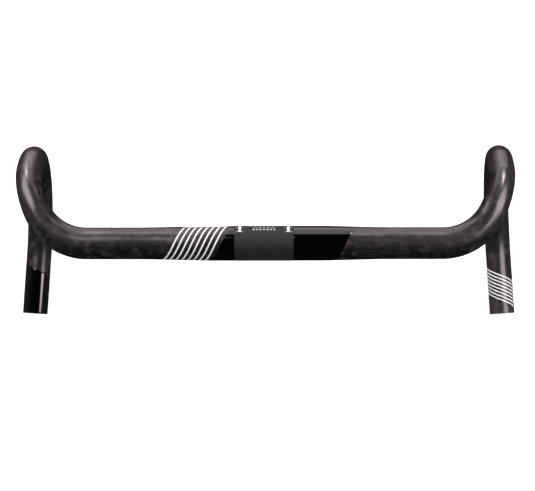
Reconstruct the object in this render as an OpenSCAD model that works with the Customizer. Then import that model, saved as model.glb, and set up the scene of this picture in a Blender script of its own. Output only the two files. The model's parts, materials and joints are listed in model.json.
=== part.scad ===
// Drop handlebar for a road or gravel bicycle: a three-piece carbon tube with bonded joints.
// Origin: centre of the stem clamp. +X to the rider's right, +Y forward, +Z up. Millimetres.
// The right half is described. The left half is its mirror image, apart from the graphics.

/* [Stem clamp] */
// Diameter that the stem clamps on
clamp_d = 31.8; // [31.8, 35]
// Width of the gritty clamp coat
clamp_w = 53; // [48:1:60]
// Thickness of the clamp coat
coat_t = 0.15; // [0.1:0.05:0.2]

/* [Tops] */
// Length of the straight tops, from the centre to the side bend
tops_len = 160.8; // [145:0.2:180]
// Depth of the flattened tops, front to back
tops_depth = 29; // [26:0.5:31]
// Height of the flattened tops
tops_height = 24.6; // [22:0.2:28]
// Where the round centre starts to flatten
taper_start = 45; // [40:1:60]
// Where the flattening is complete
taper_end = 115; // [90:1:130]

/* [Bends] */
// Radius of the level side bend
side_r = 50; // [45:0.5:60]
// Angle of the level side bend
side_deg = 62.9; // [60:0.1:70]
// Radius of the ramp bend, which leads down to the levers
ramp_r = 52.4; // [45:0.1:60]
// Angle of the ramp bend
ramp_deg = 51.9; // [45:0.1:55]
// How far the ramp bend is rolled downwards
ramp_roll = -63.9; // [-70:0.1:-60]
// Radius of the hook
hook_r = 42.5; // [40:0.5:46]
// Angle of the hook
hook_deg = 61.8; // [58:0.1:66]
// Roll from the ramp's plane into the canted plane of the hook and the drop
hook_roll = -40.4; // [-44:0.1:-36]
// Radius of the lower bend of the drop
drop_r = 92; // [80:0.5:100]
// Angle of the lower bend of the drop
drop_deg = 74.2; // [70:0.1:76]
// Length of the straight bar end
end_len = 54; // [52:0.5:64]

/* [Tube] */
// Outside diameter of the drops
tube_d = 23.8; // [23.8]
// Wall of the drops
drop_wall = 1.8; // [1.6:0.1:1.8]
// Diameter that the bar ends are reamed to, for an end plug
plug_d = 20.8; // [20.8:0.1:21.2]
// Depth of the reamed seat
plug_depth = 32; // [24:1:34]
// Wall of the centre section
centre_wall = 1.7; // [1.6:0.1:1.8]
// Length of the bonding sleeve on each side of a joint
sleeve_reach = 16; // [12:1:18]
// Wall of the bonding sleeve
sleeve_wall = 1.2; // [0.8:0.1:1.6]
// Thickness of the adhesive film
bond_t = 0.2; // [0.1:0.05:0.3]
// Length of the reinforcement inside the stem clamp
doubler_len = 76; // [60:1:88]
// Wall of the reinforcement
doubler_wall = 1.4; // [1:0.1:2]

/* [Lever zone] */
// Thickness of the lever grip coat
grip_t = 0.1; // [0.08:0.02:0.16]
// Reach of the lever grip coat above the joint
lever_above = 10; // [8:1:14]
// Reach of the lever grip coat below the joint
lever_below = 38; // [30:1:40]
// Number of graduation lines
scale_count = 12; // [6:1:14]
// Distance of the first graduation line above the joint
scale_above = 7.5; // [5:0.5:8]
// Spacing of the graduation lines along the centreline
scale_pitch = 1.7; // [1:0.1:2]

/* [Graphics] */
// Thickness of printed graphics
ink_t = 0.06; // [0.05:0.01:0.1]
// Number of stripes on the left top and on the right drop
stripe_count = 8; // [4:1:8]
// Spacing of the stripes on the top, along the bar
top_pitch = 5.34; // [4.5:0.02:6]
// Width of a stripe on the top, along the bar
top_stripe_w = 1.6; // [1:0.1:2.5]
// Where the first top stripe crosses the top line
top_stripe_x = -80.5; // [-90:0.1:-75]
// Slant of the stripes on the top, in mm per degree around the bar
top_slant = 0.132; // [0.08:0.002:0.16]
// Spacing of the stripes on the drop
drop_pitch = 3.4; // [2.5:0.1:3.4]
// Width of a stripe on the drop
drop_stripe_w = 1.4; // [1:0.1:1.8]
// Distance of the first drop stripe from the bar end
drop_stripe_at = 36.8; // [36.8:0.1:40]
// Slant of the stripes on the drop, in mm per degree around the tube
drop_slant = 0.095; // [0.04:0.005:0.1]
// Distance of the left gloss panel's edge from the bar end, on the top line
left_gloss_at = 43; // [40:0.5:44]
// Slant of that edge, in mm per degree around the tube
left_gloss_slant = 0.08; // [0.04:0.01:0.1]

/* [Hidden] */
$fn = 64;

// How far the lower bend of a layer over a joint runs into the upper one, and its skin lies below
tuck = 0.5;
tuck_step = 0.02;
// How far a cut runs past the face that it opens
cut_past = 1;

// Radii of the sections
clamp_r = clamp_d / 2;
body_r = clamp_r - coat_t;
tube_r = tube_d / 2;
bore_r = tube_r - drop_wall;

// Facets of the lofted tubes
ring_sides = 32;
taper_steps = 8;
side_steps = 9;
ramp_steps = 7;
hook_steps = 12;
drop_steps = 14;

// Arc lengths, and places along the centreline
deg_length = PI / 180;
side_len = side_r * side_deg * deg_length;
ramp_len = ramp_r * ramp_deg * deg_length;
joint_s = tops_len + side_len + ramp_len;
round_s = joint_s - sleeve_reach;

// ---- frames along the centreline: local Z is the heading, and a bend turns towards local X ----
function shift(v) = [[1, 0, 0, v.x], [0, 1, 0, v.y], [0, 0, 1, v.z], [0, 0, 0, 1]];
function roll(a) = [[cos(a), -sin(a), 0, 0], [sin(a), cos(a), 0, 0], [0, 0, 1, 0], [0, 0, 0, 1]];
function turn(a) = [[cos(a), 0, sin(a), 0], [0, 1, 0, 0], [-sin(a), 0, cos(a), 0], [0, 0, 0, 1]];
function bend(r, a) = shift([r, 0, 0]) * turn(a) * shift([-r, 0, 0]);

// At the bar's centre the heading is +X, local X is forward and local Y is up.
// At the bar end local X is outboard and local Y is up
centre_m = [[0, 0, 1, 0], [1, 0, 0, 0], [0, 1, 0, 0], [0, 0, 0, 1]];
side_m = centre_m * shift([0, 0, tops_len]);
ramp_m = side_m * bend(side_r, side_deg) * roll(ramp_roll);
hook_m = ramp_m * bend(ramp_r, ramp_deg) * roll(hook_roll);
drop_m = hook_m * bend(hook_r, hook_deg);
end_roll = -90;
end_m = drop_m * bend(drop_r, drop_deg) * roll(end_roll);

// Frame of the centre section at distance s from the middle, with local Y kept upwards
function frame_at(s) =
  s <= tops_len ? centre_m * shift([0, 0, s])
  : s <= tops_len + side_len ? side_m * bend(side_r, (s - tops_len) / side_r / deg_length)
  : ramp_m * bend(ramp_r, (s - tops_len - side_len) / ramp_r / deg_length) * roll(-ramp_roll);

function smooth(a, b, s) = let (u = min(max((s - a) / (b - a), 0), 1)) u * u * (3 - 2 * u);
function blend(a, b, u) = a + (b - a) * u;

// Half size of the section at distance s: round clamp, flattened tops, round tube
function half_size(flat, s) =
  s < tops_len
    ? blend(body_r, flat, smooth(taper_start, taper_end, s))
    : blend(flat, tube_r, smooth(tops_len, round_s, s));
function half_depth(s) = half_size(tops_depth / 2, s);
function half_height(s) = half_size(tops_height / 2, s);

function place(m, p) = let (q = m * [p.x, p.y, p.z, 1]) [q.x, q.y, q.z];

// Point of the centre section's skin. The angle starts at the top and grows forwards
function skin(s, angle, lift) =
  let (
    d = abs(s),
    p = place(frame_at(d), [(half_depth(d) + lift) * sin(angle), (half_height(d) + lift) * cos(angle), 0])
  )
  [s < 0 ? -p.x : p.x, p.y, p.z];

// Point of the right bar end's skin, t from its mouth. The angle starts at the top and grows outwards
function end_skin(t, angle, lift) =
  let (r = tube_r + lift)
  place(end_m * shift([0, 0, end_len - t]), [r * sin(angle), r * cos(angle), 0]);

// Angle folded so that it rises to the side line and falls again underneath
function fold(angle) = asin(sin(angle));

// ---- closed shells from rows of points ----
function quad(a, b, c, d) = [[a, b, c], [a, c, d]];
function joined(lists) = [for (l = lists) each l];

// Solid between an outer and an inner skin. Each is a list of closed rings with equal point counts
module sleeve_solid(outer, inner) {
  n = len(outer[0]);
  last = len(outer) - 1;
  inner_0 = len(outer) * n;
  inner_last = inner_0 + (len(inner) - 1) * n;
  polyhedron(
    concat(joined(outer), joined(inner)),
    joined([
      for (i = [0:last - 1], j = [0:n - 1])
        let (k = (j + 1) % n) quad(i * n + j, i * n + k, (i + 1) * n + k, (i + 1) * n + j),
      for (i = [0:len(inner) - 2], j = [0:n - 1])
        let (k = (j + 1) % n, a = inner_0 + i * n, b = a + n) quad(a + k, a + j, b + j, b + k),
      for (j = [0:n - 1])
        let (k = (j + 1) % n) quad(k, j, inner_0 + j, inner_0 + k),
      for (j = [0:n - 1])
        let (k = (j + 1) % n) quad(last * n + j, last * n + k, inner_last + k, inner_last + j)
    ])
  );
}

// Thin strip from pairs of points: outer[i] and inner[i] hold its two edges at step i
module strip_solid(outer, inner) {
  last = len(outer) - 1;
  a0 = 2 * len(outer);
  polyhedron(
    concat(joined(outer), joined(inner)),
    joined([
      for (i = [0:last - 1]) let (a = 2 * i) quad(a, a + 2, a + 3, a + 1),
      for (i = [0:last - 1]) let (a = a0 + 2 * i) quad(a + 1, a + 3, a + 2, a),
      for (i = [0:last - 1]) let (a = 2 * i, b = a0 + a) quad(a, b, b + 2, a + 2),
      for (i = [0:last - 1]) let (a = 2 * i + 1, b = a0 + a) quad(b, a, a + 2, b + 2),
      quad(0, 1, a0 + 1, a0),
      quad(2 * last + 1, 2 * last, a0 + 2 * last, a0 + 2 * last + 1)
    ])
  );
}

// ---- exact tube pieces ----
module tube_bend(r, a, outer_r, inner_r) {
  translate([r, 0, 0])
    rotate([90, 0, 180])
      rotate_extrude(angle = a)
        translate([r, 0])
          ring_section(outer_r, inner_r);
}

module ring_section(outer_r, inner_r) {
  difference() {
    circle(outer_r);
    circle(inner_r);
  }
}

module tube_straight(length, outer_r, inner_r) {
  linear_extrude(length)
    ring_section(outer_r, inner_r);
}

// Tube layer that runs over a bonded joint, above and below it along the centreline
module over_joint(above, below, outer_r, inner_r) {
  above_deg = above / ramp_r / deg_length;
  below_deg = below / hook_r / deg_length;
  tuck_deg = tuck / hook_r / deg_length;
  multmatrix(ramp_m * bend(ramp_r, ramp_deg - above_deg))
    tube_bend(ramp_r, above_deg, outer_r, inner_r);
  multmatrix(hook_m * bend(hook_r, -tuck_deg))
    tube_bend(hook_r, tuck_deg + below_deg, outer_r - tuck_step, inner_r + tuck_step);
}

// Patch let into the clamp coat, or the pocket for it: width along the bar, and between two angles
module clamp_patch(x, width, from, to, outer_r) {
  translate([x - width / 2, 0, 0])
    rotate([0, 90, 0])
      rotate([0, 0, 180 - to])
        rotate_extrude(angle = to - from)
          translate([clamp_r - ink_t, 0])
            square([outer_r - clamp_r + ink_t, width]);
}

module left() {
  mirror([1, 0, 0])
    children();
}

// ---- moulded pieces ----
function steps(a, b, n) = [for (i = [1:n]) blend(a, b, i / n)];
function half_stations(k) = concat(
  [taper_start],
  steps(taper_start, taper_end, taper_steps / k),
  steps(taper_end, tops_len, 1),
  steps(tops_len, tops_len + side_len, side_steps / k),
  steps(tops_len + side_len, joint_s, ramp_steps / k)
);
function stations(k) = let (half = half_stations(k), n = len(half))
  concat([for (i = [n - 1:-1:0]) -half[i]], half);
function ring(s, lift) = [for (j = [0:ring_sides - 1]) skin(s, 360 * j / ring_sides, lift)];

module centre_section() {
  color([0.13, 0.12, 0.12])
    sleeve_solid(
      [for (s = stations(1)) ring(s, 0)],
      [for (s = stations(1)) ring(s, -centre_wall)]
    );
}

// Frames down the right drop, all with the same local Y as the hook's
drop_frames = concat(
  [for (i = [0:hook_steps - 1]) hook_m * bend(hook_r, hook_deg * i / hook_steps)],
  [for (i = [0:drop_steps - 1]) drop_m * bend(drop_r, drop_deg * i / drop_steps)],
  [for (z = [0, end_len]) end_m * shift([0, 0, z]) * roll(-end_roll)]
);

function round_ring(m, r) =
  [for (j = [0:ring_sides - 1]) let (a = 360 * j / ring_sides) place(m, [r * sin(a), r * cos(a), 0])];

module drop_tube() {
  // The flats of the bore's facets touch the true bore
  facet_r = bore_r / cos(180 / ring_sides);
  color([0.15, 0.14, 0.14])
    difference() {
      sleeve_solid(
        [for (m = drop_frames) round_ring(m, tube_r)],
        [for (m = drop_frames) round_ring(m, facet_r)]
      );
      multmatrix(end_m * shift([0, 0, end_len - plug_depth]))
        cylinder(h = plug_depth + cut_past, d = plug_d);
    }
}

module left_drop() {
  left()
    drop_tube();
}

module right_drop() {
  drop_tube();
}

// ---- pieces inside the tube ----
module clamp_reinforcement() {
  outer_r = (body_r - centre_wall) * cos(180 / ring_sides);
  color([0.2, 0.2, 0.21])
    translate([-doubler_len / 2, 0, 0])
      rotate([0, 90, 0])
        tube_straight(doubler_len, outer_r, outer_r - doubler_wall);
}

module joint_sleeve() {
  sleeve_r = bore_r - bond_t;
  color([0.25, 0.25, 0.26])
    over_joint(sleeve_reach, sleeve_reach, sleeve_r, sleeve_r - sleeve_wall);
}

module left_joint_sleeve() {
  left()
    joint_sleeve();
}

module right_joint_sleeve() {
  joint_sleeve();
}

module bond_film() {
  color([0.75, 0.7, 0.5])
    over_joint(sleeve_reach, sleeve_reach, bore_r, bore_r - bond_t);
}

module left_bond_film() {
  left()
    bond_film();
}

module right_bond_film() {
  bond_film();
}

// ---- stem clamp zone ----
// Alignment mark: a broad bar with two fine cross ticks
mark_x = 21.9;
mark_w = 2.4;
mark_from = 39;
mark_to = 98;
tick_w = 7.2;
tick_deg = 1;
tick_gap = 0.3;
tick_apart = 19;

module mark_shape(x, outer_r) {
  clamp_patch(x, mark_w, mark_from, mark_to, outer_r);
  for (angle = [mark_from, mark_from + tick_apart], side = [-1, 1])
    clamp_patch(
      x + side * (mark_w + tick_w) / 4, (tick_w - mark_w) / 2 - tick_gap, angle, angle + tick_deg, outer_r
    );
}

// Two rows of plain dashes
dash_w = 1.8;
dash_pitch = 3.1;
dash_from = 47;
dash_to = 53;
low_dash_w = 2.6;
low_dash_pitch = 4;
low_dash_from = 62;
low_dash_to = 66;

module dash_shapes(outer_r) {
  for (i = [-3:3])
    clamp_patch(dash_pitch * i, dash_w, dash_from, dash_to, outer_r);
  for (i = [-2:2])
    clamp_patch(low_dash_pitch * i, low_dash_w, low_dash_from, low_dash_to, outer_r);
}

// The prints lie flush with the coat, so that the stem grips one even diameter
module clamp_grip_coat() {
  pocket_r = clamp_r + cut_past;
  color([0.27, 0.27, 0.28])
    difference() {
      translate([-clamp_w / 2, 0, 0])
        rotate([0, 90, 0])
          tube_straight(clamp_w, clamp_r, body_r);
      mark_shape(-mark_x, pocket_r);
      mark_shape(mark_x, pocket_r);
      dash_shapes(pocket_r);
    }
}

module left_clamp_mark() {
  color([0.88, 0.88, 0.86])
    mark_shape(-mark_x, clamp_r);
}

module right_clamp_mark() {
  color([0.88, 0.88, 0.86])
    mark_shape(mark_x, clamp_r);
}

module clamp_dashes() {
  color([0.7, 0.7, 0.68])
    dash_shapes(clamp_r);
}

// ---- graphics on the tops ----
// Where a slanted edge that crosses the top line at x meets the given angle
function slanted(x, angle) = x + top_slant * fold(angle);

module gloss_band(x_top, from_coat) {
  angles = [for (j = [0:ring_sides - 1]) 360 * j / ring_sides];
  edge = [for (a = angles) slanted(x_top, a)];
  rows = from_coat > 0 ? [0, 0.5, 1] : [1, 0.5, 0];
  color([0.02, 0.02, 0.02])
    sleeve_solid(
      [for (u = rows) [for (j = [0:ring_sides - 1]) skin(blend(from_coat, edge[j], u), angles[j], ink_t)]],
      [for (u = rows) [for (j = [0:ring_sides - 1]) skin(blend(from_coat, edge[j], u), angles[j], 0)]]
    );
}

left_band_x = top_stripe_x + stripe_count * top_pitch;
right_band_x = 74;

module left_gloss_band() {
  gloss_band(left_band_x, -clamp_w / 2);
}

module right_gloss_band() {
  gloss_band(right_band_x, clamp_w / 2);
}

// The stripes run from behind the bar over the top to the pinstripe on its front
stripe_from = -100;
stripe_to = 64;
stripe_steps = 16;

module top_stripes() {
  angles = [for (i = [0:stripe_steps]) blend(stripe_to, stripe_from, i / stripe_steps)];
  w = top_stripe_w / 2;
  color([0.93, 0.93, 0.93])
    for (n = [0:stripe_count - 1]) {
      x = top_stripe_x + n * top_pitch;
      strip_solid(
        [for (a = angles) [skin(x + top_slant * a - w, a, ink_t), skin(x + top_slant * a + w, a, ink_t)]],
        [for (a = angles) [skin(x + top_slant * a - w, a, 0), skin(x + top_slant * a + w, a, 0)]]
      );
    }
}

pinstripe_from = 68;
pinstripe_to = 79;

module front_pinstripe() {
  angles = [for (i = [0:3]) blend(pinstripe_to, pinstripe_from, i / 3)];
  x_first = top_stripe_x - top_stripe_w / 2;
  x_last = top_stripe_x + (stripe_count - 1) * top_pitch + top_stripe_w / 2;
  color([0.85, 0.85, 0.85])
    strip_solid(
      [for (a = angles) [skin(x_first + top_slant * a, a, ink_t), skin(x_last + top_slant * a, a, ink_t)]],
      [for (a = angles) [skin(x_first + top_slant * a, a, 0), skin(x_last + top_slant * a, a, 0)]]
    );
}

// ---- lever zone ----
module lever_grip() {
  color([0.18, 0.17, 0.17])
    over_joint(lever_above, lever_below, tube_r + grip_t, tube_r);
}

module left_lever_grip() {
  left()
    lever_grip();
}

module right_lever_grip() {
  lever_grip();
}

// Section frame at distance t past the joint, or before it where t is negative
function lever_frame(t) =
  t < 0
    ? ramp_m * bend(ramp_r, ramp_deg + t / ramp_r / deg_length) * roll(hook_roll)
    : hook_m * bend(hook_r, t / hook_r / deg_length);

// Fine lines across the outer side of the hook, a little outboard of its ridge
line_w = 0.5;
line_span = 40;
line_outboard = 5;

module lever_scale() {
  color([0.4, 0.39, 0.39])
    for (i = [0:scale_count - 1])
      multmatrix(lever_frame(i * scale_pitch - scale_above))
        rotate([0, 0, 180 - line_span / 2 + line_outboard])
          rotate_extrude(angle = line_span)
            translate([tube_r + grip_t, 0])
              square([ink_t, line_w]);
}

module left_lever_scale() {
  left()
    lever_scale();
}

module right_lever_scale() {
  lever_scale();
}

// ---- graphics on the drops ----
// Gloss from a slanted edge to the mouth. Slant is positive where the edge nears the mouth outboard
module drop_gloss(edge_at, slant) {
  angles = [for (j = [0:ring_sides - 1]) 360 * j / ring_sides];
  edge = [for (a = angles) edge_at - slant * fold(a)];
  sleeve_solid(
    [for (u = [0, 1]) [for (j = [0:ring_sides - 1]) end_skin(blend(edge[j], 0, u), angles[j], ink_t)]],
    [for (u = [0, 1]) [for (j = [0:ring_sides - 1]) end_skin(blend(edge[j], 0, u), angles[j], 0)]]
  );
}

right_gloss_at = drop_stripe_at - stripe_count * drop_pitch;

module left_drop_gloss() {
  color([0.02, 0.02, 0.02])
    left()
      drop_gloss(left_gloss_at, -left_gloss_slant);
}

module right_drop_gloss() {
  color([0.09, 0.08, 0.08])
    drop_gloss(right_gloss_at, drop_slant);
}

drop_stripe_wrap = 118;

module drop_stripes() {
  angles = [for (i = [0:stripe_steps]) blend(drop_stripe_wrap, -drop_stripe_wrap, i / stripe_steps)];
  w = drop_stripe_w / 2;
  color([0.93, 0.93, 0.93])
    for (n = [0:stripe_count - 1]) {
      t = drop_stripe_at - n * drop_pitch;
      strip_solid(
        [for (a = angles) [
          end_skin(t - drop_slant * a + w, a, ink_t), end_skin(t - drop_slant * a - w, a, ink_t)]],
        [for (a = angles) [
          end_skin(t - drop_slant * a + w, a, 0), end_skin(t - drop_slant * a - w, a, 0)]]
      );
    }
}

centre_section();
left_drop();
right_drop();
clamp_reinforcement();
left_joint_sleeve();
right_joint_sleeve();
left_bond_film();
right_bond_film();
clamp_grip_coat();
left_clamp_mark();
right_clamp_mark();
clamp_dashes();
left_gloss_band();
right_gloss_band();
top_stripes();
front_pinstripe();
left_lever_grip();
right_lever_grip();
left_lever_scale();
right_lever_scale();
left_drop_gloss();
right_drop_gloss();
drop_stripes();
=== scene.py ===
"""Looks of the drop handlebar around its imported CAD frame.

Metres. +X to the rider's right, +Y forward, +Z up, origin at the centre of the stem clamp.
Every visible skin is a smooth mesh swept along the bar's centreline, which is the CAD part's.
"""

import json
import math

import bpy
import numpy as np
from mathutils import Matrix, Vector, noise


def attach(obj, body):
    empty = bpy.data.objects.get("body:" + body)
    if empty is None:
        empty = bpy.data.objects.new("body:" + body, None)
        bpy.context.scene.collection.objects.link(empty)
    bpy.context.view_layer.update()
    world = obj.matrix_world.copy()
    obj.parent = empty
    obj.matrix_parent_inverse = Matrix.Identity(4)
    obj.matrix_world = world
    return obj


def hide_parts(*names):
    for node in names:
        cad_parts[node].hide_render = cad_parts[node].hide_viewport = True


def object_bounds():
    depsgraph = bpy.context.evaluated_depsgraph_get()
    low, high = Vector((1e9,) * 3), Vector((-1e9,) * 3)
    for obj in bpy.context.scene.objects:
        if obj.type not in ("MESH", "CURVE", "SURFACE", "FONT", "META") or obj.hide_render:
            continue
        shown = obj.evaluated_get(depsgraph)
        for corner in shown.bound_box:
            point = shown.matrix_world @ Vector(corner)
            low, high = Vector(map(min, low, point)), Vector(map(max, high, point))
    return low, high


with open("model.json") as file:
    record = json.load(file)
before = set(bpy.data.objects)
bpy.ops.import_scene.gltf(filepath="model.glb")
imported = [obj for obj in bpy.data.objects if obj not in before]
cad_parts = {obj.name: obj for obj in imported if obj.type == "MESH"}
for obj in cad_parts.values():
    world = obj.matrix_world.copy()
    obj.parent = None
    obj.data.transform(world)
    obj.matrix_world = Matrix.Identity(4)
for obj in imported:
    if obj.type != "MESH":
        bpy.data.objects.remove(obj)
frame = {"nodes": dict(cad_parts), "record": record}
cad_low, cad_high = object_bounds()

MM = 0.001
mounts = {m["name"]: m for m in frame["record"]["mounts"]}

# ---- driving dimensions, the same as the CAD part's ----
CLAMP_R = mounts["stem_clamp"]["dims"]["r_mm"] * MM
CLAMP_W = mounts["stem_clamp"]["dims"]["length_mm"] * MM
SEAT_R = mounts["right_bar_end"]["dims"]["r_mm"] * MM
SEAT_DEPTH = mounts["right_bar_end"]["dims"]["length_mm"] * MM
COAT_T = 0.15 * MM
TOPS_LEN = 160.8 * MM
TOPS_DEPTH = 29 * MM
TOPS_HEIGHT = 24.6 * MM
TAPER_START = 45 * MM
TAPER_END = 115 * MM
SLEEVE_REACH = 16 * MM
TUBE_R = 11.9 * MM
DROP_WALL = 1.8 * MM
CENTRE_WALL = 1.7 * MM
GRIP_T = 0.1 * MM
INK_T = 0.06 * MM
END_LEN = 54 * MM

# Bends after the straight tops: name, radius, angle and the roll before it in degrees
BENDS = [
    ("side", 50 * MM, 62.9, 0),
    ("ramp", 52.4 * MM, 51.9, -63.9),
    ("hook", 42.5 * MM, 61.8, -40.4),
    ("drop", 92 * MM, 74.2, 0),
]
END_ROLL_DEG = -90

# Graphics
STRIPE_COUNT = 8
TOP_STRIPE_X = -80.5 * MM
TOP_PITCH = 5.34 * MM
TOP_STRIPE_W = 1.6 * MM
TOP_SLANT = 0.132 * MM
DROP_STRIPE_AT = 36.8 * MM
DROP_PITCH = 3.4 * MM
DROP_STRIPE_W = 1.4 * MM
DROP_SLANT = 0.095 * MM
RIGHT_BAND_X = 74 * MM
LEFT_GLOSS_AT = 43 * MM
LEFT_GLOSS_SLANT = 0.08 * MM
LEVER_ABOVE = 10 * MM
LEVER_BELOW = 38 * MM
SCALE_COUNT = 12
SCALE_ABOVE = 7.5 * MM
SCALE_PITCH = 1.7 * MM

# Mesh resolution
TUBE_SIDES = 112
STATION = 2.5 * MM
GRIT_STEP = 0.42 * MM
LAYER_STATIONS = 24
PRINT_STATIONS = 2


# ---- centreline ----
def turn(angle):
    return np.array(Matrix.Rotation(angle, 4, "Y"))


def roll(angle):
    return np.array(Matrix.Rotation(angle, 4, "Z"))


def shift(x, y, z):
    return np.array(Matrix.Translation((x, y, z)))


def bend(radius, angle):
    return shift(radius, 0, 0) @ turn(angle) @ shift(-radius, 0, 0)


def build_segments():
    """Stretches of the right half, and where each named one starts and how far it is rolled there.

    A stretch is its start distance, its start frame, its radius (None if straight) and its total roll.
    """
    heading = np.array([[0, 0, 1, 0], [1, 0, 0, 0], [0, 1, 0, 0], [0, 0, 0, 1]], float)
    segments = [(0.0, heading, None, 0.0)]
    at = TOPS_LEN
    here = heading @ shift(0, 0, TOPS_LEN)
    rolled = 0.0
    starts = {}
    rolls = {}
    for name, radius, degrees, roll_deg in BENDS:
        rolled += math.radians(roll_deg)
        here = here @ roll(math.radians(roll_deg))
        segments.append((at, here, radius, rolled))
        starts[name] = at
        rolls[name] = rolled
        here = here @ bend(radius, math.radians(degrees))
        at += radius * math.radians(degrees)
    segments.append((at, here, None, rolled))
    starts["end"] = at
    rolls["end"] = rolled
    starts["mouth"] = at + END_LEN
    return segments, starts, rolls


SEGMENTS, AT, ROLLS = build_segments()
JOINT_S = AT["hook"]
MOUTH_S = AT["mouth"]
END_ROLL = ROLLS["end"] + math.radians(END_ROLL_DEG)


def frames(s):
    """Centre, local X and local Y of the right half's section at each distance s, without the rolls."""
    s = np.asarray(s, float)
    centre = np.zeros(s.shape + (3,))
    axis_x = np.zeros(s.shape + (3,))
    axis_y = np.zeros(s.shape + (3,))
    limits = [segment[0] for segment in SEGMENTS[1:]] + [math.inf]
    for (start, pose, radius, rolled), limit in zip(SEGMENTS, limits):
        here = (s >= start) & (s < limit) if start > 0 else s < limit
        d = s[here] - start
        zero = np.zeros_like(d)
        if radius is None:
            local = np.stack([zero, zero, d], -1)
            along_x = np.stack([zero + 1, zero, zero], -1)
        else:
            a = d / radius
            local = np.stack([radius * (1 - np.cos(a)), zero, radius * np.sin(a)], -1)
            along_x = np.stack([np.cos(a), zero, -np.sin(a)], -1)
        along_y = np.stack([zero, zero + 1, zero], -1)
        cosine = math.cos(rolled)
        sine = math.sin(rolled)
        rotation = pose[:3, :3]
        centre[here] = local @ rotation.T + pose[:3, 3]
        axis_x[here] = (along_x * cosine - along_y * sine) @ rotation.T
        axis_y[here] = (along_x * sine + along_y * cosine) @ rotation.T
    return centre, axis_x, axis_y


def smooth(a, b, s):
    """0 up to a, 1 from b on, and an S-curve between them."""
    u = np.clip((s - a) / (b - a), 0, 1)
    return u * u * (3 - 2 * u)


def half_size(flat, s):
    """Half size of the section: round clamp, flattened tops, round tube."""
    body_r = CLAMP_R - COAT_T
    inboard = body_r + (flat - body_r) * smooth(TAPER_START, TAPER_END, s)
    outboard = flat + (TUBE_R - flat) * smooth(TOPS_LEN, JOINT_S - SLEEVE_REACH, s)
    return np.where(s < TOPS_LEN, inboard, outboard)


def skin(s, angle, lift):
    """Points of the skin. s is negative on the left half. The angle is 0 on top and grows forwards."""
    s, angle, lift = np.broadcast_arrays(np.asarray(s, float), angle, lift)
    d = np.abs(s)
    centre, axis_x, axis_y = frames(d)
    depth = (half_size(TOPS_DEPTH / 2, d) + lift) * np.sin(angle)
    height = (half_size(TOPS_HEIGHT / 2, d) + lift) * np.cos(angle)
    points = centre + axis_x * depth[..., None] + axis_y * height[..., None]
    points[..., 0] *= np.where(s < 0, -1, 1)
    return points


# ---- meshes ----
def wrap(name, loops, angles, closed, flip=False):
    """Mesh from closed loops of (s, lift), one per angle. Its UV map is metres along and around.

    Where it doesn't go all the way round the tube, strips of quads close both ends.
    """
    loops = np.asarray(loops, float)
    angles = np.asarray(angles, float)
    rows, n = loops.shape[:2]
    points = skin(loops[..., 0], angles[:, None], loops[..., 1]).reshape(-1, 3)
    faces = []
    uvs = []
    spans = rows if closed else rows - 1
    step = angles[1] - angles[0]
    for i in range(spans):
        k = (i + 1) % rows
        v0 = angles[i] * TUBE_R
        v1 = (angles[i] + step) * TUBE_R
        for j in range(n):
            after = (j + 1) % n
            faces.append((i * n + j, i * n + after, k * n + after, k * n + j))
            here = loops[i, (j, after), 0]
            beyond = loops[k, (after, j), 0]
            uvs.append(((here[0], v0), (here[1], v0), (beyond[0], v1), (beyond[1], v1)))
    if not closed:
        for i, order in ((0, -1), (rows - 1, 1)):
            for j in range(n // 2 - 1):
                corners = (j, j + 1, n - 2 - j, n - 1 - j)[::order]
                faces.append(tuple(i * n + corner for corner in corners))
                uvs.append(tuple((loops[i, corner, 0], angles[i] * TUBE_R) for corner in corners))
    if flip:
        faces = [tuple(reversed(face)) for face in faces]
        uvs = [tuple(reversed(uv)) for uv in uvs]
    mesh = bpy.data.meshes.new(name)
    mesh.from_pydata(points.tolist(), [], faces)
    layer = mesh.uv_layers.new(name="along")
    layer.data.foreach_set("uv", np.array([corner for uv in uvs for corner in uv], np.float32).ravel())
    mesh.update()
    obj = bpy.data.objects.new(name, mesh)
    bpy.context.scene.collection.objects.link(obj)
    return obj


def join(name, pieces):
    """One object from several, keeping their materials and UV maps."""
    base = pieces[0]
    with bpy.context.temp_override(
        active_object=base, object=base, selected_objects=pieces, selected_editable_objects=pieces
    ):
        bpy.ops.object.join()
    base.name = name
    base.data.name = name
    return base


def finish_piece(obj, node, slot, *materials, sharp_deg=38):
    """Smooth shading with crisp edges, its materials, and its place in the frame."""
    for material in materials:
        obj.data.materials.append(material)
    obj.data.shade_smooth()
    obj.data.set_sharp_from_angle(angle=math.radians(sharp_deg))
    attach(obj, "root")
    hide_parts(node)
    return obj


def full_turn(count):
    """Evenly spaced angles all the way round, without the last one, which is the first again."""
    return np.arange(count) * 2 * math.pi / count


def spread(a, b, step):
    """Evenly spaced values from a to b, no further apart than step."""
    return np.linspace(a, b, max(2, int(math.ceil(abs(b - a) / step)) + 1))


def shell_loops(outer, inner, side, angles):
    """The same loop at every angle: out along the outer skin and back along the inner one."""
    loop = np.array(outer + inner[::-1])
    loop[:, 0] *= side
    return np.repeat(loop[None], len(angles), 0)


# ---- moulded tubes ----
def centre_shell():
    angles = full_turn(TUBE_SIDES)
    stations = spread(-JOINT_S, JOINT_S, STATION)
    outer = [(s, 0) for s in stations]
    inner = [(s, -CENTRE_WALL) for s in stations]
    obj = wrap("centre_shell", shell_loops(outer, inner, 1, angles), angles, True)
    paint_bore(obj, len(angles), len(outer), len(outer) * 2)
    return finish_piece(obj, "centre_section", "satin_carbon", MATERIALS["carbon"], MATERIALS["laminate"])


MOUTH_ROUND = 0.35 * MM
ROUND_STEPS = 4


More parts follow.
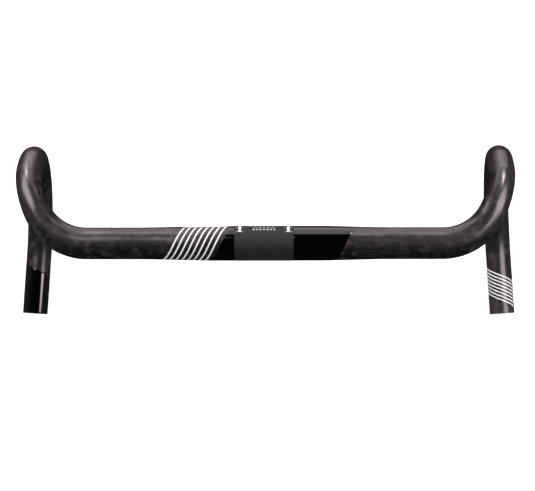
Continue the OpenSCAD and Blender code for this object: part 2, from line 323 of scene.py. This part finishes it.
def quarter(s, radius):
    """Quarter round on the outer skin, from (s - radius, 0) to (s, -radius)."""
    turns = [math.pi / 2 * i / ROUND_STEPS for i in range(ROUND_STEPS + 1)]
    return [(s - radius * (1 - math.sin(t)), -radius * (1 - math.cos(t))) for t in turns]


def drop_shell(name, side):
    angles = full_turn(TUBE_SIDES)
    seat_lift = SEAT_R - TUBE_R
    outer = [(s, 0) for s in spread(JOINT_S, MOUTH_S - MOUTH_ROUND, STATION)[:-1]]
    outer += quarter(MOUTH_S, MOUTH_ROUND)
    inner = [(s, -DROP_WALL) for s in spread(JOINT_S, MOUTH_S - SEAT_DEPTH - MOUTH_ROUND, STATION)]
    inner += [(s, seat_lift) for s in spread(MOUTH_S - SEAT_DEPTH, MOUTH_S - MOUTH_ROUND, STATION)]
    inner += [(MOUTH_S, seat_lift + MOUTH_ROUND)]
    obj = wrap(name + "_shell", shell_loops(outer, inner, side, angles), angles, True, flip=side < 0)
    paint_bore(obj, len(angles), len(outer), len(outer) + len(inner))
    return finish_piece(obj, name, "satin_carbon", MATERIALS["carbon"], MATERIALS["laminate"])


def paint_bore(obj, rows, outer_count, loop_count):
    """Second material on the bore and on the cut ends: every face after the outer skin in each row."""
    index = np.zeros((rows, loop_count), np.int32)
    index[:, outer_count - 1:] = 1
    obj.data.materials.clear()
    obj.data.polygons.foreach_set("material_index", index.ravel())


# ---- layers and prints ----
EDGE = 0.09 * MM
SHOULDER_AT = 0.3
SHOULDER_LIFT = 0.8
BURY = 0.03 * MM


def band_profile(start, end, lift, base, count):
    """Loop of (s, lift) over a layer from start to end: soft edges, raised middle, and a base under it."""
    edge = EDGE if end > start else -EDGE
    top = [(start, base), (start + edge * SHOULDER_AT, lift * SHOULDER_LIFT)]
    top += [(s, lift) for s in np.linspace(start + edge, end - edge, count)]
    top += [(end - edge * SHOULDER_AT, lift * SHOULDER_LIFT), (end, base)]
    under = [(s, base - BURY) for s in np.linspace(end, start, count)]
    return top + under


def fold(angle):
    """Angle in degrees, folded so that it rises to the side line and falls again underneath."""
    return math.degrees(math.asin(math.sin(angle)))


def layer(name, node, slot, material, start, end, angles, closed, flip=False):
    """Layer of ink or gloss on the skin between start(angle) and end(angle)."""
    loops = [band_profile(start(a), end(a), INK_T, 0.0, LAYER_STATIONS) for a in angles]
    obj = wrap(name, loops, angles, closed, flip=flip)
    return finish_piece(obj, node, slot, material)


def print_group(name, node, slot, material, prints):
    """Several separate prints on one node. Each is (start, end, angles, lift, base, flip)."""
    pieces = []
    for i, (start, end, angles, lift, base, flip) in enumerate(prints):
        loops = [band_profile(start(a), end(a), lift, base, PRINT_STATIONS) for a in angles]
        pieces.append(wrap(f"{name}_{i}", loops, angles, False, flip=flip))
    return finish_piece(join(name, pieces), node, slot, material)


GRAIN = 0.55 * MM
GRIT_FADE = 0.25 * MM


def grit(points, scale, depth):
    """How far the grit dips below the layer's full height. Prints at full height stay clear of it."""
    coarse = np.array([noise.noise(Vector(p) * scale) for p in points])
    fine = np.array([noise.noise(Vector(p) * scale * 2.3) for p in points])
    return np.clip(0.5 + 0.5 * coarse + 0.25 * fine, 0.2, 1) * depth


def gritty_layer(name, node, slot, material, start, end, thickness, depth, side=1):
    """Closed layer around the tube with a real fine grit in its outer skin."""
    angles = full_turn(int(2 * math.pi * TUBE_R / GRIT_STEP))
    stations = spread(start, end, GRIT_STEP)
    top = [(start, 0)] + [(s, thickness) for s in stations[1:-1]] + [(end, 0)]
    under = [(s, -BURY) for s in stations[::-1]]
    loop = np.array(top + under)
    loops = np.repeat(loop[None], len(angles), 0)
    outer = slice(1, len(top) - 1)
    grain = skin(loops[:, outer, 0], angles[:, None], loops[:, outer, 1])
    dips = grit(grain.reshape(-1, 3), 1 / GRAIN, depth).reshape(grain.shape[:2])
    fade = np.clip(np.minimum(loops[:, outer, 0] - start, end - loops[:, outer, 0]) / GRIT_FADE, 0, 1)
    loops[:, outer, 1] -= dips + thickness * 0.5 * (1 - fade)
    loops[..., 0] *= side
    obj = wrap(name, loops, angles, True, flip=side < 0)
    return finish_piece(obj, node, slot, material, sharp_deg=80)


# ---- materials ----
class Nodes:
    """Short way to build one material's node tree."""

    def __init__(self, name):
        self.material = bpy.data.materials.new(name)
        self.material.use_nodes = True
        self.tree = self.material.node_tree
        self.shader = self.tree.nodes["Principled BSDF"]
        uv = self.add("ShaderNodeUVMap")
        uv.uv_map = "along"
        self.along = self.scaled(uv.outputs["UV"], (1 / MM, 1 / MM, 1 / MM))
        place = self.add("ShaderNodeTexCoord")
        self.place = self.scaled(place.outputs["Object"], (1 / MM, 1 / MM, 1 / MM))

    def add(self, kind, **values):
        node = self.tree.nodes.new(kind)
        for key, value in values.items():
            setattr(node, key, value)
        return node

    def link(self, source, target):
        self.tree.links.new(source, target)

    def fill(self, socket, value):
        if isinstance(value, bpy.types.NodeSocket):
            self.link(value, socket)
        else:
            socket.default_value = value

    def scaled(self, vector, scale, turn_deg=0):
        node = self.add("ShaderNodeMapping")
        self.link(vector, node.inputs["Vector"])
        node.inputs["Scale"].default_value = scale
        node.inputs["Rotation"].default_value = (0, 0, math.radians(turn_deg))
        return node.outputs["Vector"]

    def noise(self, vector, size_mm, detail=2.0, rough=0.5):
        node = self.add("ShaderNodeTexNoise")
        self.link(vector, node.inputs["Vector"])
        node.inputs["Scale"].default_value = 1 / size_mm
        node.inputs["Detail"].default_value = detail
        node.inputs["Roughness"].default_value = rough
        return node.outputs["Fac"]

    def cells(self, vector, size_mm, feature="F1", output="Color"):
        node = self.add("ShaderNodeTexVoronoi", feature=feature)
        self.link(vector, node.inputs["Vector"])
        node.inputs["Scale"].default_value = 1 / size_mm
        return node.outputs[output]

    def math(self, operation, a, b=0.0, clamp=False):
        node = self.add("ShaderNodeMath", operation=operation, use_clamp=clamp)
        self.fill(node.inputs[0], a)
        self.fill(node.inputs[1], b)
        return node.outputs[0]

    def span(self, value, low, high, to_low=0.0, to_high=1.0):
        node = self.add("ShaderNodeMapRange", interpolation_type="SMOOTHSTEP")
        self.fill(node.inputs["Value"], value)
        node.inputs["From Min"].default_value = low
        node.inputs["From Max"].default_value = high
        node.inputs["To Min"].default_value = to_low
        node.inputs["To Max"].default_value = to_high
        return node.outputs["Result"]

    def part(self, vector, axis):
        node = self.add("ShaderNodeSeparateXYZ")
        self.link(vector, node.inputs[0])
        return node.outputs[axis]

    def moved(self, vector, by, amount):
        """vector with a noise's value times amount added to every part."""
        offset = self.math("MULTIPLY", self.math("SUBTRACT", by, 0.5), amount)
        node = self.add("ShaderNodeVectorMath", operation="ADD")
        self.link(vector, node.inputs[0])
        self.link(offset, node.inputs[1])
        return node.outputs[0]

    def colour(self, factor, dark, light):
        node = self.add("ShaderNodeMix", data_type="RGBA")
        self.fill(node.inputs["Factor"], factor)
        node.inputs["A"].default_value = (*dark, 1)
        node.inputs["B"].default_value = (*light, 1)
        return node.outputs["Result"]

    def bump(self, height, distance_mm, strength):
        node = self.add("ShaderNodeBump")
        node.inputs["Strength"].default_value = strength
        node.inputs["Distance"].default_value = distance_mm * MM
        self.link(height, node.inputs["Height"])
        self.link(node.outputs["Normal"], self.shader.inputs["Normal"])

    def set(self, **values):
        """Values or links for the shader's sockets. Underscores in a name stand for spaces."""
        for key, value in values.items():
            self.fill(self.shader.inputs[key.replace("_", " ")], value)


def carbon_material():
    """Satin clear over short-strand carbon: marbled patches, dark veins and fine slanted strands."""
    n = Nodes("satin_carbon")
    warp = n.noise(n.place, 9, detail=3)
    warped = n.moved(n.place, warp, 7.0)
    patches = n.part(n.cells(warped, 4.8), "X")
    edge = n.cells(warped, 4.8, feature="DISTANCE_TO_EDGE", output="Distance")
    vein = n.span(edge, 0.0, 0.10, 1.0, 0.0)
    strands = n.noise(n.scaled(n.along, (0.05, 1.3, 1), turn_deg=-38), 1.0, detail=3, rough=0.6)
    counter = n.noise(n.scaled(n.along, (1.1, 0.07, 1), turn_deg=-30), 1.0, detail=2)
    cloud = n.noise(n.place, 22, detail=2)
    marbled = n.span(cloud, 0.38, 0.62, 0.25, 1.0)
    patch_tone = n.math("MULTIPLY", n.math("SUBTRACT", patches, 0.5), n.math("MULTIPLY", marbled, 0.55))
    strand_tone = n.math("MULTIPLY", n.math("SUBTRACT", strands, 0.5), 0.7)
    counter_tone = n.math("MULTIPLY", n.math("SUBTRACT", counter, 0.5), 0.25)
    tone = n.math("ADD", n.math("ADD", patch_tone, strand_tone), n.math("ADD", counter_tone, 0.5))
    tone = n.math("SUBTRACT", tone, n.math("MULTIPLY", vein, n.math("MULTIPLY", marbled, 0.4)), clamp=True)
    n.set(Base_Color=n.colour(n.span(tone, 0.38, 0.72), (0.0003, 0.0002, 0.0002), (0.03, 0.0255, 0.025)))
    n.set(Roughness=n.span(tone, 0, 1, 0.66, 0.54), Specular_IOR_Level=0.2)
    n.set(Coat_Weight=0.9, Coat_IOR=1.8, Coat_Roughness=0.28)
    fine = n.noise(n.place, 0.5, detail=1)
    height = n.math("ADD", n.math("MULTIPLY", cloud, 0.5), n.math("MULTIPLY", fine, 0.1))
    n.bump(height, 0.006, strength=0.4)
    return n.material


WEAVE_TURN_PER_MM = 5.2


def laminate_material():
    """Raw laminate inside the tube: a peel-ply weave and dull resin."""
    n = Nodes("raw_laminate")
    across = n.math("SINE", n.math("MULTIPLY", n.part(n.along, "X"), WEAVE_TURN_PER_MM))
    around = n.math("SINE", n.math("MULTIPLY", n.part(n.along, "Y"), WEAVE_TURN_PER_MM))
    weave = n.math("ADD", n.math("MULTIPLY", n.math("MULTIPLY", across, around), 0.5), 0.5)
    blotch = n.noise(n.place, 5, detail=3)
    tone = n.math("ADD", n.math("MULTIPLY", weave, 0.5), n.math("MULTIPLY", blotch, 0.5), clamp=True)
    n.set(Base_Color=n.colour(tone, (0.012, 0.012, 0.013), (0.05, 0.05, 0.052)))
    n.set(Roughness=n.span(blotch, 0.3, 0.7, 0.5, 0.7))
    n.bump(weave, 0.05, strength=0.6)
    return n.material


def gloss_material():
    """Deep gloss black with faint orange peel, dust and hairline marks."""
    n = Nodes("gloss_black")
    peel = n.noise(n.place, 1.6, detail=1)
    hair = n.noise(n.scaled(n.along, (0.04, 4.0, 1), turn_deg=12), 1.0, detail=2, rough=0.7)
    dust = n.span(n.noise(n.place, 0.5, detail=1), 0.72, 0.8)
    n.set(Base_Color=n.colour(dust, (0.0007, 0.0006, 0.0008), (0.006, 0.006, 0.006)))
    rough = n.math("ADD", n.span(hair, 0.55, 0.8, 0.0, 0.05), n.math("MULTIPLY", dust, 0.15))
    n.set(Roughness=n.math("ADD", rough, 0.07), Coat_Weight=0.6, Coat_Roughness=0.04)
    n.bump(peel, 0.004, strength=0.5)
    return n.material


def gloss_carbon_material():
    """The same carbon under a clear gloss: streaks along the tube, seen through a smooth coat."""
    n = Nodes("gloss_carbon")
    streaks = n.noise(n.scaled(n.along, (0.04, 0.9, 1), turn_deg=-8), 1.0, detail=3, rough=0.6)
    patches = n.noise(n.place, 5, detail=3)
    tone = n.math("ADD", n.math("MULTIPLY", streaks, 0.6), n.math("MULTIPLY", patches, 0.4), clamp=True)
    n.set(Base_Color=n.colour(n.span(tone, 0.3, 0.7), (0.008, 0.007, 0.0072), (0.06, 0.053, 0.055)))
    n.set(Roughness=n.span(streaks, 0.3, 0.7, 0.42, 0.3), Coat_Weight=0.8, Coat_Roughness=0.1)
    n.bump(n.noise(n.place, 1.6, detail=1), 0.004, strength=0.5)
    return n.material


def grit_material(name, dark, light, size_mm, roughness, shine):
    """Matte coat with fine mineral grit."""
    n = Nodes(name)
    grains = n.part(n.cells(n.place, size_mm), "X")
    patch = n.noise(n.place, 6, detail=3)
    tone = n.math("ADD", n.math("MULTIPLY", grains, 0.65), n.math("MULTIPLY", patch, 0.35), clamp=True)
    n.set(Base_Color=n.colour(tone, dark, light))
    n.set(Roughness=n.span(grains, 0, 1, roughness - 0.08, roughness + 0.1), Specular_IOR_Level=shine)
    n.bump(n.noise(n.place, size_mm, detail=2), 0.05, strength=0.55)
    return n.material


def ink_material(name, worn, full, roughness):
    """Screen-printed ink: even, with thin spots and a soft surface."""
    n = Nodes(name)
    thin = n.span(n.noise(n.place, 0.8, detail=3), 0.3, 0.55)
    n.set(Base_Color=n.colour(thin, worn, full))
    n.set(Roughness=n.span(n.noise(n.place, 1.5), 0.3, 0.7, roughness - 0.06, roughness + 0.06))
    n.set(Coat_Weight=0.2, Coat_Roughness=0.2)
    n.bump(n.noise(n.place, 0.4), 0.006, strength=0.4)
    return n.material


def adhesive_material():
    n = Nodes("adhesive")
    mottle = n.noise(n.place, 1.5, detail=3)
    n.set(Base_Color=n.colour(mottle, (0.2, 0.17, 0.09), (0.34, 0.3, 0.17)))
    n.set(Roughness=n.span(mottle, 0.3, 0.7, 0.35, 0.55))
    n.bump(mottle, 0.03, strength=0.4)
    return n.material


MATERIALS = {
    "carbon": carbon_material(),
    "laminate": laminate_material(),
    "gloss": gloss_material(),
    "gloss_carbon": gloss_carbon_material(),
    "clamp": grit_material("clamp_grit", (0.0042, 0.0043, 0.005), (0.02, 0.0207, 0.0238), 0.5, 0.62, 0.45),
    "lever": grit_material("lever_grit", (0.004, 0.0034, 0.0034), (0.022, 0.019, 0.0187), 0.6, 0.38, 1.0),
    "white": ink_material("white_ink", (0.63, 0.64, 0.65), (0.77, 0.78, 0.79), 0.32),
    "dim_white": ink_material("dim_white_ink", (0.3, 0.3, 0.3), (0.5, 0.5, 0.49), 0.4),
    "grey": ink_material("grey_ink", (0.1, 0.091, 0.09), (0.22, 0.201, 0.198), 0.3),
    "adhesive": adhesive_material(),
}

# ---- the moulded bar ----
centre_shell()
drop_shell("left_drop", -1)
drop_shell("right_drop", 1)

# ---- stem clamp zone ----
GRIT_DEPTH = 0.06 * MM
PRINT_STEP = 1.5
gritty_layer(
    "clamp_coat", "clamp_grip_coat", "clamp_grit", MATERIALS["clamp"],
    -CLAMP_W / 2, CLAMP_W / 2, COAT_T, GRIT_DEPTH,
)

MARK_X = 21.9 * MM
MARK_W = 2.4 * MM
MARK_FROM = 39
MARK_TO = 98
TICK_W = 7.2 * MM
TICK_DEG = 1
TICK_GAP = 0.3 * MM
TICK_RISE = 19


def clamp_print(x, width, start_deg, end_deg):
    angles = np.radians(spread(start_deg, end_deg, PRINT_STEP))
    return (lambda a: x - width / 2, lambda a: x + width / 2, angles, COAT_T, COAT_T - GRIT_DEPTH, False)


def clamp_mark(name, x):
    prints = [clamp_print(x, MARK_W, MARK_FROM, MARK_TO)]
    for start in (MARK_FROM, MARK_FROM + TICK_RISE):
        for side in (-1, 1):
            middle = x + side * (MARK_W + TICK_W) / 4
            prints.append(clamp_print(middle, (TICK_W - MARK_W) / 2 - TICK_GAP, start, start + TICK_DEG))
    print_group(name + "_print", name, "white_ink", MATERIALS["white"], prints)


clamp_mark("left_clamp_mark", -MARK_X)
clamp_mark("right_clamp_mark", MARK_X)

# Rows of dashes: how many on each side of the middle one, pitch, width, first and last angle
DASH_ROWS = [
    (3, 3.1 * MM, 1.8 * MM, 47, 53),
    (2, 4 * MM, 2.6 * MM, 62, 66),
]
dashes = []
for aside_count, pitch, width, start_deg, end_deg in DASH_ROWS:
    for i in range(-aside_count, aside_count + 1):
        dashes.append(clamp_print(pitch * i, width, start_deg, end_deg))
print_group("clamp_dash_print", "clamp_dashes", "white_ink", MATERIALS["dim_white"], dashes)

# ---- graphics on the tops ----
LEFT_BAND_X = TOP_STRIPE_X + STRIPE_COUNT * TOP_PITCH


def slanted(x):
    return lambda a: x + TOP_SLANT * fold(a)


layer(
    "left_gloss_layer", "left_gloss_band", "gloss_black", MATERIALS["gloss"],
    slanted(LEFT_BAND_X), lambda a: -CLAMP_W / 2, full_turn(TUBE_SIDES), True,
)
layer(
    "right_gloss_layer", "right_gloss_band", "gloss_black", MATERIALS["gloss"],
    lambda a: CLAMP_W / 2, slanted(RIGHT_BAND_X), full_turn(TUBE_SIDES), True,
)

STRIPE_FROM = -100
STRIPE_TO = 64
STRIPE_STEP = 2.5
stripe_angles = np.radians(spread(STRIPE_FROM, STRIPE_TO, STRIPE_STEP))


def top_stripe(index):
    x = TOP_STRIPE_X + index * TOP_PITCH
    return (
        lambda a: x + TOP_SLANT * math.degrees(a) - TOP_STRIPE_W / 2,
        lambda a: x + TOP_SLANT * math.degrees(a) + TOP_STRIPE_W / 2,
        stripe_angles, INK_T, 0.0, False,
    )


print_group(
    "top_stripe_print", "top_stripes", "white_ink", MATERIALS["white"],
    [top_stripe(i) for i in range(STRIPE_COUNT)],
)
PINSTRIPE_FROM = 68
PINSTRIPE_TO = 79
PINSTRIPE_FIRST = TOP_STRIPE_X - TOP_STRIPE_W / 2
PINSTRIPE_LAST = TOP_STRIPE_X + (STRIPE_COUNT - 1) * TOP_PITCH + TOP_STRIPE_W / 2
layer(
    "pinstripe_print", "front_pinstripe", "white_ink", MATERIALS["white"],
    lambda a: PINSTRIPE_FIRST + TOP_SLANT * math.degrees(a),
    lambda a: PINSTRIPE_LAST + TOP_SLANT * math.degrees(a),
    np.radians(spread(PINSTRIPE_FROM, PINSTRIPE_TO, PRINT_STEP)), False,
)

# ---- lever zones ----
LEVER_GRIT_DEPTH = 0.05 * MM
LINE_W = 0.5 * MM
LINE_SPAN_DEG = 40
LINE_OUTBOARD_DEG = 5


def lever_zone(side, word):
    name = word + "_lever_grip"
    gritty_layer(
        word + "_lever_coat", name, "lever_grit", MATERIALS["lever"],
        JOINT_S - LEVER_ABOVE, JOINT_S + LEVER_BELOW, GRIP_T, LEVER_GRIT_DEPTH, side,
    )
    # The hook turns towards its local X, so its outer ridge lies at local -X
    ridge = math.radians(-90) - ROLLS["hook"]
    low = ridge - math.radians(LINE_SPAN_DEG / 2 + LINE_OUTBOARD_DEG)
    high = ridge + math.radians(LINE_SPAN_DEG / 2 - LINE_OUTBOARD_DEG)
    angles = spread(low, high, math.radians(2))
    lines = []
    for i in range(SCALE_COUNT):
        s = JOINT_S - SCALE_ABOVE + i * SCALE_PITCH
        ends = (side * s, side * (s + LINE_W))
        lines.append((
            lambda a, e=ends: e[0], lambda a, e=ends: e[1],
            angles, GRIP_T + INK_T, GRIP_T - LEVER_GRIT_DEPTH, side < 0,
        ))
    print_group(word + "_scale_print", word + "_lever_scale", "grey_ink", MATERIALS["grey"], lines)


lever_zone(-1, "left")
lever_zone(1, "right")


# ---- graphics on the drops: angles here start at the top of the bar end and grow outboard ----
def end_angle(a):
    """Angle around the bar end's own section as an angle of the unrolled section."""
    return a - END_ROLL


def drop_gloss(word, side, edge_at, slant, slot, material):
    angles = end_angle(full_turn(TUBE_SIDES))
    layer(
        word + "_end_gloss", word + "_drop_gloss", slot, material,
        lambda a: side * (MOUTH_S - edge_at + slant * fold(a + END_ROLL)),
        lambda a: side * (MOUTH_S - MOUTH_ROUND / 2),
        angles, True, flip=side < 0,
    )


RIGHT_GLOSS_AT = DROP_STRIPE_AT - STRIPE_COUNT * DROP_PITCH
drop_gloss("left", -1, LEFT_GLOSS_AT, -LEFT_GLOSS_SLANT, "gloss_black", MATERIALS["gloss"])
drop_gloss("right", 1, RIGHT_GLOSS_AT, DROP_SLANT, "gloss_carbon", MATERIALS["gloss_carbon"])

DROP_STRIPE_WRAP = 118
drop_stripe_angles = end_angle(np.radians(spread(-DROP_STRIPE_WRAP, DROP_STRIPE_WRAP, STRIPE_STEP)))


def drop_stripe(index):
    at = MOUTH_S - DROP_STRIPE_AT + index * DROP_PITCH
    return (
        lambda a: at + DROP_SLANT * math.degrees(a + END_ROLL) - DROP_STRIPE_W / 2,
        lambda a: at + DROP_SLANT * math.degrees(a + END_ROLL) + DROP_STRIPE_W / 2,
        drop_stripe_angles, INK_T, 0.0, False,
    )


print_group(
    "drop_stripe_print", "drop_stripes", "white_ink", MATERIALS["white"],
    [drop_stripe(i) for i in range(STRIPE_COUNT)],
)

# ---- pieces inside the tube keep their CAD shape ----
INSIDE = {
    "clamp_reinforcement": "laminate",
    "left_joint_sleeve": "laminate",
    "right_joint_sleeve": "laminate",
    "left_bond_film": "adhesive",
    "right_bond_film": "adhesive",
}
for node_name, material_name in INSIDE.items():
    node = frame["nodes"][node_name]
    node.data.materials.clear()
    node.data.materials.append(MATERIALS[material_name])


# ---- stage ----
def lit_paper(name, tone, glow):
    """Pale paper that a light table brightens from below, so that shadows on it stay faint."""
    material = bpy.data.materials.new(name)
    material.use_nodes = True
    shader = material.node_tree.nodes["Principled BSDF"]
    shader.inputs["Base Color"].default_value = (tone, tone, tone, 1)
    shader.inputs["Roughness"].default_value = 0.9
    shader.inputs["Specular IOR Level"].default_value = 0.1
    shader.inputs["Emission Color"].default_value = (1, 1, 1, 1)
    shader.inputs["Emission Strength"].default_value = glow
    return material


FLOOR_HALF = 25.0
FLOOR_GAP = 2 * MM
floor_z = cad_low.z - FLOOR_GAP
floor_mesh = bpy.data.meshes.new("floor")
floor_corners = [(x * FLOOR_HALF, y * FLOOR_HALF, floor_z) for x, y in ((-1, -1), (1, -1), (1, 1), (-1, 1))]
floor_mesh.from_pydata(floor_corners, [], [(0, 1, 2, 3)])
floor = bpy.data.objects.new("floor", floor_mesh)
floor_mesh.materials.append(lit_paper("pale_floor", 0.85, 0.7))
floor.visible_glossy = False
bpy.context.scene.collection.objects.link(floor)


WARM = (1.0, 0.88, 0.885)


def softbox(name, place, aim, width, height, power, spread_deg=180):
    """Rectangular light of so many watts, turned to face aim. A narrow spread makes it a beam."""
    light = bpy.data.lights.new(name, "AREA")
    light.shape = "RECTANGLE"
    light.size = width
    light.size_y = height
    light.energy = power
    light.color = WARM
    light.spread = math.radians(spread_deg)
    obj = bpy.data.objects.new(name, light)
    obj.location = place
    obj.rotation_euler = (Vector(aim) - Vector(place)).to_track_quat("-Z", "Y").to_euler()
    bpy.context.scene.collection.objects.link(obj)


LEFT_HOOD = (-0.22, 0.04, 0)
RIGHT_HOOD = (0.22, 0.04, 0)
LEFT_END = (-0.227, -0.045, -0.124)

# The band of light along the front of the tops, and a panel that brightens their left half
softbox("front_box", (-0.1, 1.5, -0.1), (-0.1, 0, -0.1), 1.3, 1.9, 10.5)
softbox("high_left_panel", (-0.33, 1.5, 1.92), (-0.1, 0, 0), 0.35, 0.35, 0.5)

# The straight reflection in the gloss panel on the left bar end
softbox("strip_box", (0.557, 0, 0.365), LEFT_END, 0.5, 0.36, 0.045, 24)

# The broad sheen on the outside of each hook, and the brighter patch on its front
softbox("left_box", (-0.49, 0.31, 0.38), LEFT_HOOD, 0.36, 0.6, 3.2)
softbox("right_box", (0.5, 0.11, 0.39), RIGHT_HOOD, 0.42, 0.4, 2.5)
softbox("left_spot", (-0.445, 0.88, 0.233), LEFT_HOOD, 0.18, 0.18, 0.18, 50)
softbox("right_spot", (0.4, 0.79, 0.41), RIGHT_HOOD, 0.18, 0.18, 0.22, 50)

# The room: pale where it lights the object, dark in reflections, and less dark far out to either side
ROOM = (0.47, 0.5, 0.51, 1)
REFLECTED_AHEAD = (0.01, 0.009, 0.009, 1)
REFLECTED_ASIDE = (0.1, 0.093, 0.093, 1)
ASIDE_FROM = 0.5
ASIDE_TO = 0.95


def studio_world():
    world = bpy.data.worlds.new("studio")
    world.use_nodes = True
    bpy.context.scene.world = world
    nodes = world.node_tree.nodes
    links = world.node_tree.links
    direction = nodes.new("ShaderNodeTexCoord")
    split = nodes.new("ShaderNodeSeparateXYZ")
    links.new(direction.outputs["Generated"], split.inputs[0])
    across = nodes.new("ShaderNodeMath")
    across.operation = "ABSOLUTE"
    links.new(split.outputs["X"], across.inputs[0])
    aside = nodes.new("ShaderNodeMapRange")
    aside.inputs["From Min"].default_value = ASIDE_FROM
    aside.inputs["From Max"].default_value = ASIDE_TO
    links.new(across.outputs[0], aside.inputs["Value"])
    reflected = nodes.new("ShaderNodeMix")
    reflected.data_type = "RGBA"
    reflected.inputs["A"].default_value = REFLECTED_AHEAD
    reflected.inputs["B"].default_value = REFLECTED_ASIDE
    links.new(aside.outputs["Result"], reflected.inputs["Factor"])
    path = nodes.new("ShaderNodeLightPath")
    seen = nodes.new("ShaderNodeMix")
    seen.data_type = "RGBA"
    seen.inputs["A"].default_value = ROOM
    links.new(path.outputs["Is Glossy Ray"], seen.inputs["Factor"])
    links.new(reflected.outputs["Result"], seen.inputs["B"])
    links.new(seen.outputs["Result"], nodes["Background"].inputs["Color"])


studio_world()

# ---- camera: straight above, as in the photograph, and a little off square ----
IMAGE_W = 535
SENSOR = 36.0
FOCAL_PIXELS = 1808.8
CAMERA_OFFSET = Vector((2.885, -2.01, 1635.9)) * MM
LEAN_X_DEG = -1.652
LEAN_Y_DEG = -1.509
LEAN_Z_DEG = 0.013

lean = (
    Matrix.Rotation(math.radians(LEAN_Z_DEG), 4, "Z")
    @ Matrix.Rotation(math.radians(LEAN_X_DEG), 4, "X")
    @ Matrix.Rotation(math.radians(LEAN_Y_DEG), 4, "Y")
)
camera_data = bpy.data.cameras.new("camera")
camera_data.sensor_width = SENSOR
camera_data.sensor_fit = "HORIZONTAL"
camera_data.lens = FOCAL_PIXELS * SENSOR / IMAGE_W
camera_data.clip_start = 0.01
camera_data.clip_end = 50
camera = bpy.data.objects.new("camera", camera_data)
camera.matrix_world = lean.transposed() @ Matrix.Translation(CAMERA_OFFSET)
bpy.context.scene.collection.objects.link(camera)
bpy.context.scene.camera = camera

bpy.context.scene.view_settings.view_transform = "Standard"
bpy.context.scene.view_settings.look = "None"
